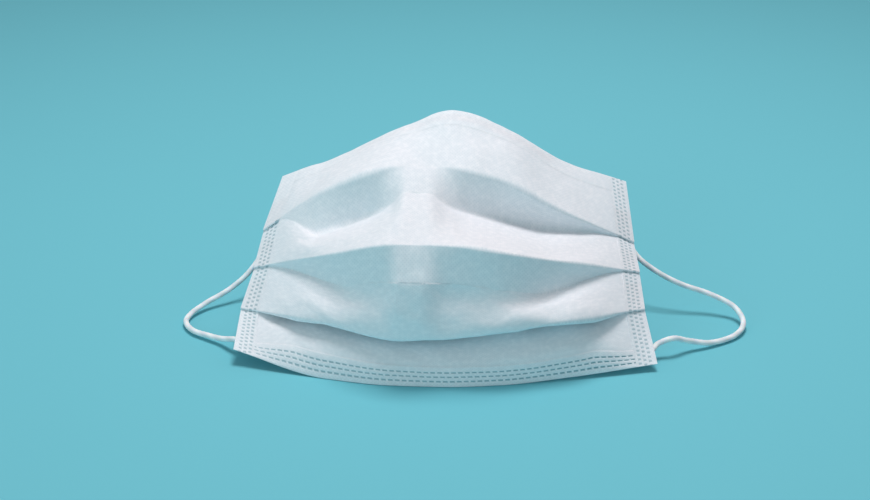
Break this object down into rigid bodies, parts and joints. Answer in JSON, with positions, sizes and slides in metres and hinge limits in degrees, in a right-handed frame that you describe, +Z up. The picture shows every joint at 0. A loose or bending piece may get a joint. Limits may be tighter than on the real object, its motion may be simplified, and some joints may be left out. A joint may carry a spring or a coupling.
{
  "type": "surgical face mask",
  "caption": "White pleated surgical face mask, opened into a dome and standing on its lower hem, with welded sides, a shaped nose line and soft ear loops.",
  "frame": {"origin": "The middle of the base of the mask's box, without its ear loops, on the surface it stands on.", "axes": "+X to the viewer's right across the mask, +Y from the outer face back to the wearer's side, +Z up."},
  "size_m": [0.2357, 0.1018, 0.085],
  "materials": {
    "nonwoven": "soft matte non-woven",
    "weld": "pressed and welded non-woven",
    "wire": "plain soft strip",
    "elastic": "knitted elastic cord"
  },
  "bodies": {
    "root": {"pleated_body": "nonwoven", "top_hem": "nonwoven", "bottom_hem": "nonwoven", "nose_wire": "wire", "left_side_seal": "weld", "right_side_seal": "weld", "left_ear_loop": "elastic", "right_ear_loop": "elastic"}
  },
  "joints": []
}
